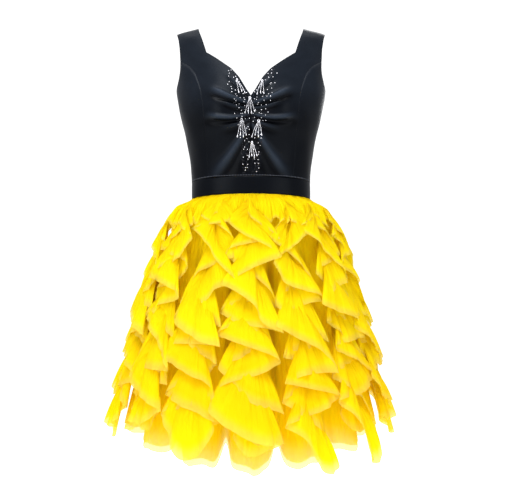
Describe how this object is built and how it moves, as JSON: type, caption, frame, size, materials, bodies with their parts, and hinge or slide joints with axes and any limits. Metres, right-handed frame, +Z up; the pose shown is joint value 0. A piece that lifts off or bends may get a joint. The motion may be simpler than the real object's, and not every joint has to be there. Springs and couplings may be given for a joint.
{
  "type": "bralette dress",
  "caption": "Short party dress: satin sweetheart bodice on wide straps, waistband, beaded centre front, and a full skirt of cascading tulle ruffles.",
  "frame": {"origin": "middle of the shoulder line, midway between the crests of the two straps, where the wearer's shoulders hold the dress", "axes": "+Z up, the front faces -Y, +X towards the right of someone looking at the front"},
  "size_m": [0.5641, 0.517, 0.839],
  "materials": {
    "satin": "heavy near-black navy satin with a soft broad sheen",
    "tulle": "crisp bright yellow soft tulle in several layers, paler and sheer at single-layer edges",
    "beads": "small polished silver beads and drops",
    "zip_metal": "black painted zip slider and pull"
  },
  "bodies": {
    "dress": {"front_centre_left": "satin", "front_centre_right": "satin", "front_side_left": "satin", "front_side_right": "satin", "back_left": "satin", "back_right": "satin", "waistband_front": "satin", "waistband_back_left": "satin", "waistband_back_right": "satin", "underskirt_front": "tulle", "underskirt_back_left": "tulle", "underskirt_back_right": "tulle", "flounce_front": "tulle", "flounce_back_left": "tulle", "flounce_back_right": "tulle", "ruffle_front": "tulle", "ruffle_front_right_1": "tulle", "ruffle_front_right_2": "tulle", "ruffle_side_right_1": "tulle", "ruffle_side_right_2": "tulle", "ruffle_back_right_1": "tulle", "ruffle_back_right_2": "tulle", "ruffle_back_right_3": "tulle", "ruffle_back_left_3": "tulle", "ruffle_back_left_2": "tulle", "ruffle_back_left_1": "tulle", "ruffle_side_left_2": "tulle", "ruffle_side_left_1": "tulle", "ruffle_front_left_2": "tulle", "ruffle_front_left_1": "tulle", "tassel_1": "beads", "tassel_2": "beads", "tassel_3": "beads", "tassel_4": "beads", "tassel_5": "beads", "tassel_6": "beads", "zip_slider": "zip_metal"},
    "zip_pull": {"zip_pull": "zip_metal"}
  },
  "joints": [
    {"name": "zip_pull_hinge", "type": "hinge", "parent": "dress", "child": "zip_pull", "pos_m": [0, 0.09965, -0.12573], "axis": [1, 0, 0], "range_deg": [0, 150]}
  ]
}
